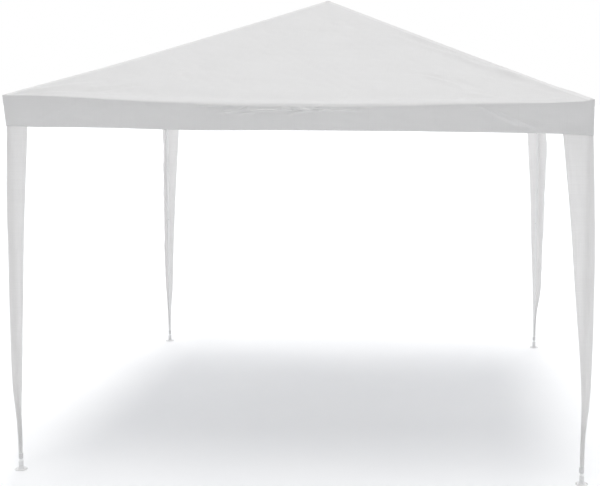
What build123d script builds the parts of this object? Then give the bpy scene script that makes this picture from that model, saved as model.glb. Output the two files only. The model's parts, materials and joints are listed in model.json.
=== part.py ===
"""Garden gazebo, 3 m x 3 m: a plug-together steel tube frame under a pyramid
cover of coated fabric with a short valance and a tapered fabric cover down
each leg.

Frame of the part: +Z up, origin on the ground at the centre of the square.
+X is right, -Y is the front.  Everything is in millimetres.

The gazebo repeats four times about Z.  Every piece is drawn at the corner or
side nearest +X +Y and turned by quarter turns to its place.
"""

import math
import os

from build123d import *

# ---------------------------------------------------------------- dimensions
# cover
HALF = 1500.0            # half width over the cover's outside
PEAK_Z = 2600.0          # top of the cover
EAVE_Z = 1975.0          # fold between roof and valance, at the corners
HEM_Z = 1818.0           # bottom edge of the valance
FABRIC_T = 1.5           # thickness that stands for the cover's fabric

# frame
LEG_XY = 1480.0          # leg axis, from the centre, both ways
UPPER_R, UPPER_BORE = 11.0, 10.0       # upper leg tube 22 x 1
LOWER_R, LOWER_BORE = 9.5, 8.5         # lower leg tube 19 x 1
RAIL_R, RAIL_BORE = 9.5, 8.6           # eave rails and rafters 19 x 0.9
SWAGE_R, SWAGE_BORE = 8.4, 7.5         # reduced end that plugs into the next tube
SWAGE_LEN = 80.0
RAIL_Z = 1935.0          # eave rail axis
RAFTER_DROP = 22.0       # rafter axis below the hip fold, measured straight down
LOWER_TOP_Z = 1050.0     # top end of the lower leg, inside the upper leg
UPPER_BOTTOM_Z = 950.0   # bottom end of the upper leg
UPPER_TOP_Z = 1945.0

# corner connector
SLEEVE_R = 12.5          # sleeves for rails and rafter
SLEEVE_BORE = 9.65
POST_R, POST_BORE = 14.0, 11.2         # upright sleeve for the leg
POST_BOTTOM_Z, POST_TOP_Z = 1880.0, 1973.0
RAIL_START = 24.0        # rail end, from the leg axis
RAIL_SLEEVE_END = 74.0   # end of the rail sleeve, from the leg axis
RAFTER_START = 34.0      # rafter end along its axis, from the leg axis
RAFTER_SLEEVE_END = 84.0

# crown connector
HUB_R = 24.0
HUB_BOTTOM_Z = 2556.0
CROWN_START = 26.0       # rafter end along its axis, from the crown axis
CROWN_SLEEVE_END = 80.0
CAP_SEAT_Z = 2591.0      # the cap sits on the hub here, under the peak of the cover

# foot plate
FOOT_R, FOOT_T = 33.0, 3.0
BOSS_R, BOSS_TOP_Z = 20.0, 13.0
FOOT_SOCKET_R, FOOT_SOCKET_BORE = 12.6, 9.6
FOOT_SOCKET_TOP_Z = 45.0
FOOT_SEAT_Z = 4.0        # the lower leg stands on this
PEG_HOLE_R, PEG_HOLE_AT = 4.0, 26.5

# spring buttons
LEG_PIN_R, LEG_PIN_TIP, LEG_PIN_Z = 3.0, 13.4, 1000.0
CORNER_PIN_R, CORNER_PIN_TIP, CORNER_PIN_Z = 3.2, 16.6, 1902.0

# leg covers: all four are cut alike, 260 wide at the top, and hang with the
# corner fold 22 off their middle, so that one face is wider than the other
COVER_MID_Z, COVER_END_Z = 880.0, 88.0
COVER_WIDE = 152.0       # the front right cover along the front, the others along the side
COVER_NARROW = 108.0     # the front right cover along the side, the others along the front and back
COVER_MID_SHARE = 0.47   # width at the middle height, as a share of the width at the top
COVER_END_W = 23.0       # width at the cuff

# cuff that straps each leg cover to the lower leg
CUFF_IN, CUFF_OUT, CUFF_LOW_Z, CUFF_HIGH_Z = 9.7, 12.0, 58.0, 86.0

# ---------------------------------------------------------------- helpers
SLOPE = (PEAK_Z - EAVE_Z) / HALF                  # roof fall per mm outwards
HIP = SLOPE / math.sqrt(2)                        # hip fall per mm along the diagonal
UP = math.atan(HIP)                               # rafter angle above level
DIAG = LEG_XY * math.sqrt(2)                      # leg axis from the centre, along the diagonal
CROWN_Z = PEAK_Z - RAFTER_DROP                    # rafter axes meet here
CORNER_Z = CROWN_Z - HIP * DIAG                   # rafter axis where it meets the leg axis
LOW, MID = (Align.CENTER, Align.CENTER, Align.MIN), (Align.CENTER,) * 3
CORNERS = ["back_right", "back_left", "front_left", "front_right"]
SIDES = ["back", "left", "front", "right"]


def turned(shape, k):
    """The shape turned k quarter turns about the gazebo's centre."""
    return shape.rotate(Axis.Z, 90 * k)


def at(p, d, shape):
    """A shape drawn along +Z from the origin, put at p and pointed along d."""
    return Plane(origin=p, z_dir=d).location * shape


def lathe(points):
    """A solid turned about Z from (radius, height) points."""
    outline = make_face(Plane.XZ * Polyline(*[(r, z) for r, z in points], close=True))
    return revolve(outline, Axis.Z, 360)


def rod(p, d, r, a, b):
    """A round bar about the axis from p along d, from distance a to b."""
    start = tuple(p[i] + d[i] * a for i in range(3))
    return at(start, d, Cylinder(r, b - a, align=LOW))


def tube(p, d, r, bore, a, b, swaged=False):
    """A tube about the axis from p along d; a swaged one goes on past b with a reduced end."""
    n = b - a
    if swaged:
        pts = [(bore, 0), (r, 0), (r, n - 5), (SWAGE_R, n), (SWAGE_R, n + SWAGE_LEN),
               (SWAGE_BORE, n + SWAGE_LEN), (SWAGE_BORE, n - 1), (bore, n - 6)]
    else:
        pts = [(bore, 0), (r, 0), (r, n), (bore, n)]
    start = tuple(p[i] + d[i] * a for i in range(3))
    return at(start, d, lathe(pts))


def block(points, faces):
    """A solid with flat faces, from its corner points and the corners of each face."""
    skin = [Face(Wire.make_polygon([Vector(*points[i]) for i in f], close=True)) for f in faces]
    solid = Solid(Shell(skin))
    if solid.volume < 0:
        solid = Solid(Shell([-f for f in skin]))
    return solid


def ruled(sections):
    """A solid with flat faces through sections that have the same number of corners."""
    n = len(sections[0])
    points = [p for s in sections for p in s]
    faces = [list(range(n))[::-1], [n * (len(sections) - 1) + i for i in range(n)]]
    for s in range(len(sections) - 1):
        for i in range(n):
            j = (i + 1) % n
            faces.append([s * n + i, s * n + j, (s + 1) * n + j, (s + 1) * n + i])
    return block(points, faces)


parts = {}

# ---------------------------------------------------------------- legs
AXIS = (LEG_XY, LEG_XY, 0)
IN = (-1 / math.sqrt(2), -1 / math.sqrt(2), 0)    # from the leg towards the centre


def facing_in(shape):
    """A shape drawn with its button pointing along +X at the origin, put on the leg axis and turned to the centre."""
    return Location((LEG_XY, LEG_XY, 0)) * (Rot(0, 0, 225) * shape)


leg_hole = facing_in(Pos(0, 0, LEG_PIN_Z) * Rot(0, 90, 0) * Cylinder(LEG_PIN_R + 0.4, 30, align=LOW))
corner_hole = facing_in(Pos(0, 0, CORNER_PIN_Z) * Rot(0, 90, 0) * Cylinder(CORNER_PIN_R + 0.4, 30, align=LOW))

lower_leg = tube(AXIS, (0, 0, 1), LOWER_R, LOWER_BORE, FOOT_SEAT_Z, LOWER_TOP_Z) - leg_hole
upper_leg = tube(AXIS, (0, 0, 1), UPPER_R, UPPER_BORE, UPPER_BOTTOM_Z, UPPER_TOP_Z) - leg_hole - corner_hole

foot = lathe([(0, 0), (FOOT_R - 0.8, 0), (FOOT_R, 0.8), (FOOT_R, FOOT_T - 0.8), (FOOT_R - 0.8, FOOT_T),
              (BOSS_R, FOOT_T), (FOOT_SOCKET_R + 1.6, 7.5), (FOOT_SOCKET_R, BOSS_TOP_Z),
              (FOOT_SOCKET_R, FOOT_SOCKET_TOP_Z - 1), (FOOT_SOCKET_R - 1, FOOT_SOCKET_TOP_Z),
              (FOOT_SOCKET_BORE, FOOT_SOCKET_TOP_Z), (FOOT_SOCKET_BORE, FOOT_SEAT_Z), (0, FOOT_SEAT_Z)])
for x in (-PEG_HOLE_AT, PEG_HOLE_AT):
    foot -= Pos(x, 0, -1) * Cylinder(PEG_HOLE_R, FOOT_T + 2, align=LOW)

cuff = Pos(*AXIS) * (Pos(0, 0, CUFF_LOW_Z) * (Cylinder(CUFF_OUT, CUFF_HIGH_Z - CUFF_LOW_Z, align=LOW)
                                              - Cylinder(CUFF_IN, CUFF_HIGH_Z - CUFF_LOW_Z, align=LOW)))


def button(r, tip, leaf_out, leaf_w, z):
    """A spring button: a round-headed pin on a flat leaf that lies inside the tube."""
    pin = lathe([(0, leaf_out - 0.4), (r, leaf_out - 0.4), (r, tip - 2.0), (r * 0.87, tip - 1.0),
                 (r * 0.55, tip - 0.25), (0, tip)])
    leaf = Pos(leaf_out - 0.4, 0, -9) * Box(0.8, leaf_w, 44)
    return facing_in(Pos(0, 0, z) * (Rot(0, 90, 0) * pin + leaf))


leg_button = button(LEG_PIN_R, LEG_PIN_TIP, 7.4, 7.0, LEG_PIN_Z)
corner_button = button(CORNER_PIN_R, CORNER_PIN_TIP, 8.7, 8.0, CORNER_PIN_Z)

# ---------------------------------------------------------------- corner connector
FROM_LEG = (LEG_XY, LEG_XY, RAIL_Z)
RISE = (-math.cos(UP) / math.sqrt(2), -math.cos(UP) / math.sqrt(2), math.sin(UP))
FROM_CORNER = (LEG_XY, LEG_XY, CORNER_Z)

post = lathe([(0, POST_BOTTOM_Z), (POST_R - 1, POST_BOTTOM_Z), (POST_R, POST_BOTTOM_Z + 1), (POST_R, POST_TOP_Z - 5),
              (POST_R - 1.5, POST_TOP_Z - 1.5), (POST_R - 5, POST_TOP_Z), (0, POST_TOP_Z)])
connector = Pos(LEG_XY, LEG_XY, 0) * post
for d in ((-1, 0, 0), (0, -1, 0)):
    connector += rod(FROM_LEG, d, SLEEVE_R, 0, RAIL_SLEEVE_END)
    connector += rod(FROM_LEG, d, SLEEVE_R + 1.2, RAIL_SLEEVE_END - 8, RAIL_SLEEVE_END)
connector += rod(FROM_CORNER, RISE, SLEEVE_R, 0, RAFTER_SLEEVE_END)
connector -= rod((LEG_XY, LEG_XY, 0), (0, 0, 1), POST_BORE, POST_BOTTOM_Z - 1, UPPER_TOP_Z)
for d in ((-1, 0, 0), (0, -1, 0)):
    connector -= rod(FROM_LEG, d, SLEEVE_BORE, RAIL_START, RAIL_SLEEVE_END + 1)
connector -= rod(FROM_CORNER, RISE, SLEEVE_BORE, RAFTER_START, RAFTER_SLEEVE_END + 1)
connector -= corner_hole

# ---------------------------------------------------------------- eave rails, back side
rail_from_right = tube(FROM_LEG, (-1, 0, 0), RAIL_R, RAIL_BORE, RAIL_START, LEG_XY, swaged=True)
rail_from_left = tube((-LEG_XY, LEG_XY, RAIL_Z), (1, 0, 0), RAIL_R, RAIL_BORE, RAIL_START, LEG_XY - 0.5)

# ---------------------------------------------------------------- rafters
RAFTER_LEN = DIAG / math.cos(UP)                  # leg axis to crown axis, along the rafter
JOINT = RAFTER_LEN / 2
rafter_lower = tube(FROM_CORNER, RISE, RAIL_R, RAIL_BORE, RAFTER_START, JOINT, swaged=True)
rafter_upper = tube(FROM_CORNER, RISE, RAIL_R, RAIL_BORE, JOINT + 0.5, RAFTER_LEN - CROWN_START)

# ---------------------------------------------------------------- crown
crown = lathe([(0, HUB_BOTTOM_Z), (HUB_R - 2, HUB_BOTTOM_Z), (HUB_R, HUB_BOTTOM_Z + 2), (HUB_R, 2577),
               (HUB_R - 3, 2582), (9, 2585.5), (9, CAP_SEAT_Z), (0, CAP_SEAT_Z)])
DOWN = tuple(-v for v in RISE)
for k in range(4):
    crown += turned(rod((0, 0, CROWN_Z), DOWN, SLEEVE_R, 8, CROWN_SLEEVE_END), k)
for k in range(4):
    crown -= turned(rod((0, 0, CROWN_Z), DOWN, SLEEVE_BORE, CROWN_START, CROWN_SLEEVE_END + 1), k)
crown -= Pos(0, 0, 2566) * Cylinder(4.2, 60, align=LOW)
crown_cap = lathe([(0, 2568), (4.0, 2568), (4.0, CAP_SEAT_Z), (9.0, CAP_SEAT_Z), (27.0, 2584.6), (28.0, 2584.8),
                   (27.8, 2586.0), (9.0, 2593.8), (3.0, 2596.2), (0, 2596.6)])

# ---------------------------------------------------------------- cover
IN_HALF = HALF - FABRIC_T
DROP = FABRIC_T * math.sqrt(1 + SLOPE * SLOPE)    # fabric thickness, straight down


def roof_z(x):
    return PEAK_Z - SLOPE * x


# back roof panel: the gore between the two back hips
e = IN_HALF
top = [(0, 0, PEAK_Z), (e, e, roof_z(e)), (-e, e, roof_z(e))]
low = [(x, y, z - DROP) for x, y, z in top]
roof_panel = block(low + top, [[2, 1, 0], [3, 4, 5], [0, 1, 4, 3], [1, 2, 5, 4], [2, 0, 3, 5]])

# back valance: hangs from the eave, mitred at the corners
a, b = HALF, IN_HALF
za, zb = roof_z(a), roof_z(b)
valance = block(
    [(a, a, HEM_Z), (-a, a, HEM_Z), (-b, b, HEM_Z), (b, b, HEM_Z),
     (a, a, za), (-a, a, za), (-b, b, zb), (b, b, zb)],
    [[0, 1, 2, 3], [7, 6, 5, 4], [0, 4, 5, 1], [1, 5, 6, 2], [2, 6, 7, 3], [3, 7, 4, 0]])


def leg_cover(front_w, side_w):
    """Two faces of fabric about the outside of a leg, meeting in a fold at the corner; they narrow to the cuff."""
    def section(z, edge, wx, wy):
        i = edge - FABRIC_T
        return [(edge, edge, z), (edge - wx, edge, z), (edge - wx, i, z), (i, i, z), (i, edge - wy, z), (edge, edge - wy, z)]
    end = LEG_XY + LOWER_R + 0.4 + FABRIC_T
    share = COVER_MID_SHARE
    return ruled([section(HEM_Z, HALF, front_w, side_w),
                  section(COVER_MID_Z, HALF, share * front_w, share * side_w),
                  section(COVER_END_Z, end, COVER_END_W, COVER_END_W)][::-1])


# straps that tie the cover to the rails, three on each half side
def strap(x):
    ring = Cylinder(11.4, 25, align=MID) - Cylinder(9.9, 25, align=MID)
    ring = Pos(x, LEG_XY, RAIL_Z) * (Rot(0, 90, 0) * ring)
    tab = Pos(x, LEG_XY + 4, RAIL_Z + 10.2) * Box(25, IN_HALF - 0.1 - LEG_XY - 4, 1.2, align=(Align.CENTER, Align.MIN, Align.CENTER))
    return ring + tab


# ---------------------------------------------------------------- put every piece in its place
straps = []
for k, corner in enumerate(CORNERS):
    parts[f"corner_connector_{corner}"] = turned(connector, k)
    parts[f"corner_button_{corner}"] = turned(corner_button, k)
    parts[f"upper_leg_{corner}"] = turned(upper_leg, k)
    parts[f"lower_leg_{corner}"] = turned(lower_leg, k)
    parts[f"leg_button_{corner}"] = turned(leg_button, k)
    parts[f"rafter_lower_{corner}"] = turned(rafter_lower, k)
    parts[f"rafter_upper_{corner}"] = turned(rafter_upper, k)
    parts[f"leg_cuff_{corner}"] = turned(cuff, k)
    sx, sy = (1 if "right" in corner else -1), (1 if "back" in corner else -1)
    parts[f"foot_plate_{corner}"] = Pos(sx * LEG_XY, sy * LEG_XY, 0) * foot
    cover = leg_cover(COVER_WIDE, COVER_NARROW) if corner == "front_right" else leg_cover(COVER_NARROW, COVER_WIDE)
    if sx < 0:
        cover = cover.mirror(Plane.YZ)
    if sy < 0:
        cover = cover.mirror(Plane.XZ)
    parts[f"leg_cover_{corner}"] = cover

HALVES = {"back": ("right", "left"), "left": ("back", "front"), "front": ("left", "right"), "right": ("front", "back")}
for k, side in enumerate(SIDES):
    first, second = HALVES[side]
    parts[f"eave_rail_{side}_{first}"] = turned(rail_from_right, k)
    parts[f"eave_rail_{side}_{second}"] = turned(rail_from_left, k)
    parts[f"roof_panel_{side}"] = turned(roof_panel, k)
    parts[f"valance_{side}"] = turned(valance, k)
    straps += [turned(strap(x), k) for x in (-980, -330, 330, 980)]

parts["crown_connector"] = crown
parts["crown_cap"] = crown_cap
parts["cover_straps"] = Compound(children=[s.solid() if hasattr(s, "solid") else s for s in straps])

os.makedirs("parts", exist_ok=True)
for name, shape in parts.items():
    export_step(shape, f"parts/{name}.step")
print(len(parts), "parts written")
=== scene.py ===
"""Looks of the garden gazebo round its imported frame: cover, leg covers, straps, seams, materials, light, camera.
Metres, +Z up, -Y is the front, +X is right seen from the front."""
import json
import math

import bpy
import numpy as np
from mathutils import Matrix, Vector


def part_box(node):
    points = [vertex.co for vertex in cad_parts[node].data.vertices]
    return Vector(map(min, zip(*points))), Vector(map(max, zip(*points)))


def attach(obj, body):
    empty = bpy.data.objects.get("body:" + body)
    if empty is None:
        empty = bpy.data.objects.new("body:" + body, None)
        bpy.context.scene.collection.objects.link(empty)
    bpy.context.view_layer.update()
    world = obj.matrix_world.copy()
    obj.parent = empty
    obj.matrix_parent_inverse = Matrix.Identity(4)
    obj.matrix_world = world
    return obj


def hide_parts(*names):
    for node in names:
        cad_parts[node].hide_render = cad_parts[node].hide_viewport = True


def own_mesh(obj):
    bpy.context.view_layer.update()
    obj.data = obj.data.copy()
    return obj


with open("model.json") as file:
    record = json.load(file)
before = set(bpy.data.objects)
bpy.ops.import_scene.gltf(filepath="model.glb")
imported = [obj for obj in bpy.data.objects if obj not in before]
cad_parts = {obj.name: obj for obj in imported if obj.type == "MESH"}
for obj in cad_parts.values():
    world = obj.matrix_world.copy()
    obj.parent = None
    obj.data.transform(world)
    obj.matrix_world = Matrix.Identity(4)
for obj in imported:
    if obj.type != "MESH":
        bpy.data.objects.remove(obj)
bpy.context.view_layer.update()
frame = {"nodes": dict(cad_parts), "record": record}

CORNERS = {"back_right": (1, 1), "back_left": (-1, 1), "front_left": (-1, -1), "front_right": (1, -1)}
SIDES = ["back", "left", "front", "right"]          # quarter turns from the back, anticlockwise from above

# ------------------------------------------------------------------ sizes, read from the frame
valance_lo, valance_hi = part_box("valance_front")
HALF, HEM, EAVE = valance_hi.x, valance_lo.z, valance_hi.z
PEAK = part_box("roof_panel_front")[1].z
SLOPE = (PEAK - EAVE) / HALF
leg_lo, leg_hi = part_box("lower_leg_front_right")
LEG = (leg_lo.x + leg_hi.x) / 2
TUBE_R = (leg_hi.x - leg_lo.x) / 2
rail_lo, rail_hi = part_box("eave_rail_front_left")
RAIL_R, RAIL_Z = (rail_hi.z - rail_lo.z) / 2, (rail_hi.z + rail_lo.z) / 2
COVER_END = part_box("leg_cover_front_left")[0].z
COVER_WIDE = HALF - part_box("leg_cover_front_right")[0].x
COVER_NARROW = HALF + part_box("leg_cover_front_left")[1].x
cuff_lo, cuff_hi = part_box("leg_cuff_front_left")
RISE = math.sqrt(1 + SLOPE * SLOPE)                  # length down the roof for each metre outwards


# ------------------------------------------------------------------ small helpers
def step(low, high, x):
    """0 below low, 1 above high, smooth between."""
    t = np.clip((np.asarray(x, float) - low) / (high - low), 0, 1)
    return t * t * (3 - 2 * t)


def bell(x, width):
    return np.exp(-(np.asarray(x, float) / width) ** 2)


def waves(seed, x, y, size, n=11):
    """Smooth noise of about unit height, with bumps about size across."""
    rng = np.random.default_rng(seed)
    out = 0.0
    for _ in range(n):
        turn, k, phase = rng.uniform(0, math.tau), math.tau / size * rng.uniform(0.6, 1.5), rng.uniform(0, math.tau)
        out = out + np.cos(k * (math.cos(turn) * x + math.sin(turn) * y) + phase)
    return out / math.sqrt(n / 2)


def smooth_table(knots, values, x, blur=0.05):
    """Values between knots, rounded over blur metres."""
    grid = np.linspace(knots[0] - 0.3, knots[-1] + 0.3, 1401)
    raw = np.interp(grid, knots, values)
    k = np.exp(-0.5 * (np.arange(-60, 61) * (grid[1] - grid[0]) / blur) ** 2)
    raw = np.convolve(np.pad(raw, 60, mode="edge"), k / k.sum(), mode="valid")
    return np.interp(x, grid, raw)


def turn(k, x, y):
    """A point turned k quarter turns anticlockwise."""
    for _ in range(k % 4):
        x, y = -y, x
    return x, y


def add_mesh(name, verts, faces, uv=None, smooth=True):
    mesh = bpy.data.meshes.new(name)
    mesh.from_pydata([tuple(v) for v in verts], [], [tuple(f) for f in faces])
    mesh.update()
    if uv is not None:
        layer = mesh.uv_layers.new(name="UVMap")
        layer.data.foreach_set("uv", np.asarray(uv, np.float32).ravel())
    mesh.polygons.foreach_set("use_smooth", [smooth] * len(mesh.polygons))
    o = bpy.data.objects.new(name, mesh)
    bpy.context.scene.collection.objects.link(o)
    return o


def quad_normals(verts, quads):
    """Area-weighted vertex normals of an all-quad mesh; a repeated last corner makes a triangle."""
    d1, d2 = verts[quads[:, 2]] - verts[quads[:, 0]], verts[quads[:, 3]] - verts[quads[:, 1]]
    c = np.cross(d1, d2)
    n = np.zeros_like(verts)
    for i in range(4):
        np.add.at(n, quads[:, i], c)
    return n / np.maximum(np.linalg.norm(n, axis=1), 1e-12)[:, None]


def cloth(name, verts, quads, thick, uv):
    """A closed thin shell: the quads are its outer face, and its inner face lies thick below. uv is one pair for each corner of each quad."""
    n = len(verts)
    normal = quad_normals(verts, quads)
    inner = verts - normal * np.asarray(thick)[:, None]
    edges = {}
    for q, f in enumerate(quads):
        for i in range(4):
            a, b = int(f[i]), int(f[(i + 1) % 4])
            if a == b:
                continue
            if (b, a) in edges:
                del edges[(b, a)]
            else:
                edges[(a, b)] = (q, i)
    faces, loops = [], []

    def put(f, c):
        keep = [i for i in range(4) if f[i] != f[i - 1]]
        faces.append([f[i] for i in keep])
        loops.extend(c[i] for i in keep)

    for f, c in zip(quads.tolist(), uv):
        put(f, c)
    for f, c in zip(quads.tolist(), uv):
        put([v + n for v in f[::-1]], c[::-1])
    for (a, b), (q, i) in edges.items():
        ca, cb = uv[q][i], uv[q][(i + 1) % 4]
        put([b, a, a + n, b + n], [cb, ca, ca, cb])
    return add_mesh(name, np.vstack([verts, inner]), faces, uv=np.array(loops))


def joined(name, parts, smooth=True):
    """One mesh from (verts, faces) pairs."""
    verts, faces, at = [], [], 0
    for v, f in parts:
        verts.append(np.asarray(v, float))
        faces.extend([[i + at for i in face] for face in f])
        at += len(v)
    return add_mesh(name, np.vstack(verts), faces, smooth=smooth)


def ribbon(path, across, up, half_width, thick, sink=0.0004):
    """A flat strip along path, as (verts, faces). across and up are unit vectors at each point; the strip's underside is sunk into what it lies on."""
    path, across, up = (np.asarray(a, float) for a in (path, across, up))
    rows = []
    for w, h in ribbon_profile(thick, sink):
        rows.append(path + across * (w * half_width) + up * h)
    return strip(rows)


def ribbon_profile(thick, sink=0.0004):
    return (-1, -sink), (-0.88, thick * 0.5), (-0.70, thick), (-0.25, thick), (0.25, thick), (0.70, thick), (0.88, thick * 0.5), (1, -sink)


def strip(rows):
    """A closed strip through rows of points, as (verts, faces)."""
    v = np.stack(rows, 1).reshape(-1, 3)
    n, m = len(rows[0]), len(rows)
    f = [[i * m + j, i * m + (j + 1) % m, (i + 1) * m + (j + 1) % m, (i + 1) * m + j] for i in range(n - 1) for j in range(m)]
    f += [list(range(m))[::-1], [(n - 1) * m + j for j in range(m)]]
    return v, f


def stitches(path, up, pitch=0.0085, length=0.0052, r=0.00042):
    """A row of short stitches that lie along path, as (verts, faces)."""
    path, up = np.asarray(path, float), np.asarray(up, float)
    run = np.concatenate([[0], np.cumsum(np.linalg.norm(np.diff(path, axis=0), axis=1))])
    at = np.arange(pitch, run[-1] - pitch, pitch)

    def along(values, s):
        return np.stack([np.interp(s, run, values[:, i]) for i in range(3)], 1)

    a, b, mid, n = along(path, at - length / 2), along(path, at + length / 2), along(path, at), along(up, at)
    n /= np.linalg.norm(n, axis=1)[:, None]
    side = np.cross(b - a, n)
    side /= np.maximum(np.linalg.norm(side, axis=1), 1e-12)[:, None]
    ring = [mid + side * r, mid + n * r * 1.5, mid - side * r, mid - n * r]
    v = np.stack([a - n * r, b - n * r, *ring], 1).reshape(-1, 3)
    f = []
    for k in range(len(at)):
        o = 6 * k
        for i in range(4):
            j = (i + 1) % 4
            f.append([o, o + 2 + j, o + 2 + i])
            f.append([o + 1, o + 2 + i, o + 2 + j])
    return v, f


# ------------------------------------------------------------------ the cover's shape
# How far the fold at the eave hangs below the straight line between its corners, along each side from left to
# right seen from outside: the corners stand on the connectors, and the middle rests on the rail.
DROOP = {
    2: ([-1.5, -1.35, -1.2, -1.05, -0.9, -0.74, -0.37, -0.19, 0.01, 0.23, 0.60, 0.97, 1.25, 1.5],
        [0.0, -0.001, 0.001, 0.007, 0.0135, 0.020, 0.0315, 0.0350, 0.0355, 0.0345, 0.030, 0.019, 0.012, 0.0]),
    3: ([-1.5, -1.2, -0.8, -0.35, 0.1, 0.45, 0.9, 1.25, 1.5],
        [0.0, 0.008, 0.018, 0.029, 0.036, 0.031, 0.017, 0.006, 0.0]),
    0: ([-1.5, -1.25, -0.85, -0.4, 0.0, 0.3, 0.8, 1.2, 1.5],
        [0.0, 0.007, 0.016, 0.028, 0.034, 0.0355, 0.020, 0.008, 0.0]),
    1: ([-1.5, -1.3, -0.9, -0.5, -0.1, 0.35, 0.75, 1.15, 1.5],
        [0.0, 0.005, 0.015, 0.027, 0.0355, 0.030, 0.019, 0.009, 0.0]),
}
# How much further the fold hangs because the cloth turns down over the rail, along the front
TURN_OVER = ([-1.5, -0.9, -0.5, 0.0, 0.4, 0.8, 1.1, 1.5], [0.0, 0.0, 0.003, 0.007, 0.008, 0.003, 0.002, 0.0])
# How the cloth sits higher or lower over each corner than the straight hips: (height, spread in plan)
SETTLE = {"back_right": (-0.004, 0.40), "back_left": (0.003, 0.35), "front_left": (0.008, 0.45), "front_right": (-0.010, 0.50)}
# Small rolls of loose cloth on the eave: (side, middle along it, how far below the fold, half length, half height, how far they stand out, slant)
ROLLS = [
    (2, -0.445, 0.004, 0.055, 0.0060, 0.0060, 0.00), (2, -0.335, 0.032, 0.030, 0.0060, 0.0080, -0.20), (2, -0.390, 0.018, 0.035, 0.0055, 0.0050, -0.35),
    (2, -0.262, 0.012, 0.022, 0.0055, 0.0065, -0.50), (2, -0.152, 0.018, 0.070, 0.0060, 0.0100, -0.03), (2, -0.235, 0.036, 0.045, 0.0065, 0.0045, -0.15),
    (2, -0.035, 0.010, 0.026, 0.0055, 0.0070, 0.30), (2, 0.065, 0.013, 0.055, 0.0058, 0.0090, 0.20), (2, 0.015, 0.031, 0.036, 0.0060, 0.0050, -0.25),
    (2, 0.170, 0.017, 0.042, 0.0056, 0.0076, 0.05), (2, 0.118, 0.003, 0.030, 0.0055, 0.0055, -0.20), (2, 0.275, 0.017, 0.048, 0.0062, 0.0062, 0.10),
    (2, 0.360, 0.010, 0.050, 0.0070, 0.0038, 0.00), (2, 0.62, 0.014, 0.060, 0.0090, 0.0026, 0.0),
    (3, -0.12, 0.014, 0.060, 0.009, 0.0075, 0.15), (3, 0.02, 0.020, 0.045, 0.008, 0.0070, -0.20), (3, 0.16, 0.012, 0.055, 0.009, 0.0062, 0.10),
    (3, 0.34, 0.018, 0.060, 0.010, 0.0040, 0.0), (0, -0.10, 0.014, 0.060, 0.009, 0.0070, -0.15), (0, 0.08, 0.020, 0.050, 0.008, 0.0078, 0.20),
    (0, 0.24, 0.010, 0.045, 0.009, 0.0058, -0.10), (0, -0.52, 0.016, 0.060, 0.010, 0.0038, 0.0), (1, -0.20, 0.014, 0.060, 0.009, 0.0072, 0.10),
    (1, -0.05, 0.022, 0.045, 0.008, 0.0066, -0.25), (1, 0.12, 0.012, 0.050, 0.009, 0.0066, 0.15), (1, 0.45, 0.016, 0.060, 0.010, 0.0036, 0.0),
]
# Folds that run out of an eave corner into the roof: (side, end, angle up from the eave in degrees, width, height, from, to)
FOLDS = [
    (2, 1, 10.0, 0.016, 0.0042, 0.30, 1.00), (2, -1, 43.8, 0.017, 0.0032, 0.25, 1.10), (3, -1, 43.4, 0.018, 0.0030, 0.25, 1.30),
    (0, 1, 43.8, 0.017, 0.0034, 0.25, 1.20), (1, -1, 43.6, 0.017, 0.0034, 0.25, 1.25), (0, -1, 43.9, 0.018, 0.0032, 0.25, 1.00),
    (2, 1, 34.0, 0.018, 0.0036, 0.15, 0.80), (2, 1, 43.6, 0.017, 0.0072, 0.22, 1.60),
    (2, -1, 11.0, 0.018, 0.0050, 0.12, 0.75), (2, -1, 19.0, 0.022, -0.0040, 0.15, 0.85), (2, -1, 29.0, 0.018, 0.0044, 0.15, 0.65),
    (3, -1, 12.0, 0.018, 0.0060, 0.15, 0.90), (3, -1, 22.0, 0.020, -0.0050, 0.15, 0.95), (3, -1, 32.0, 0.016, 0.0044, 0.15, 0.70),
    (3, 1, 15.0, 0.020, 0.0056, 0.15, 0.85), (3, 1, 29.0, 0.020, -0.0044, 0.10, 0.70),
    (0, -1, 13.0, 0.018, 0.0060, 0.15, 0.85), (0, -1, 26.0, 0.022, -0.0046, 0.15, 0.90), (0, 1, 17.0, 0.018, 0.0058, 0.15, 0.90),
    (0, 1, 31.0, 0.018, 0.0042, 0.15, 0.70),
    (1, -1, 14.0, 0.020, 0.0060, 0.15, 0.95), (1, -1, 26.0, 0.022, -0.0044, 0.15, 0.75), (1, 1, 18.0, 0.018, 0.0054, 0.15, 0.85),
    (1, 1, 32.0, 0.018, -0.0042, 0.15, 0.70),
]
# Short folds across a gore: (side, a and d of one end, a and d of the other, width, height)
PLEATS = [
    (2, 0.600, 1.085, 0.905, 1.318, 0.0135, 0.0052), (2, 0.765, 1.132, 0.985, 1.330, 0.0125, -0.0042), (2, 0.540, 1.045, 0.780, 1.195, 0.0130, -0.0034),
    (2, 0.830, 1.310, 1.080, 1.420, 0.0130, 0.0034), (2, -1.120, 1.395, -0.840, 1.300, 0.0150, 0.0034), (2, -0.780, 1.180, -0.590, 1.060, 0.0150, -0.0026),
    (3, -0.900, 1.300, -0.620, 1.080, 0.0140, 0.0044), (3, 0.700, 1.160, 0.960, 1.330, 0.0140, 0.0038), (0, 0.640, 1.110, 0.930, 1.310, 0.0140, 0.0046),
    (0, -0.960, 1.340, -0.700, 1.170, 0.0140, -0.0036), (1, -0.920, 1.310, -0.640, 1.090, 0.0140, 0.0044), (1, 0.660, 1.130, 0.900, 1.290, 0.0140, -0.0034),
]
STRAP_AT = (-0.98, -0.33, 0.33, 0.98)


def fold_radius(a):
    """How round the cloth bends over the eave: tight at the corners, round over the rail."""
    return 0.003 + 0.0035 * step(0.0, 0.8, HALF - np.abs(a))


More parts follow.
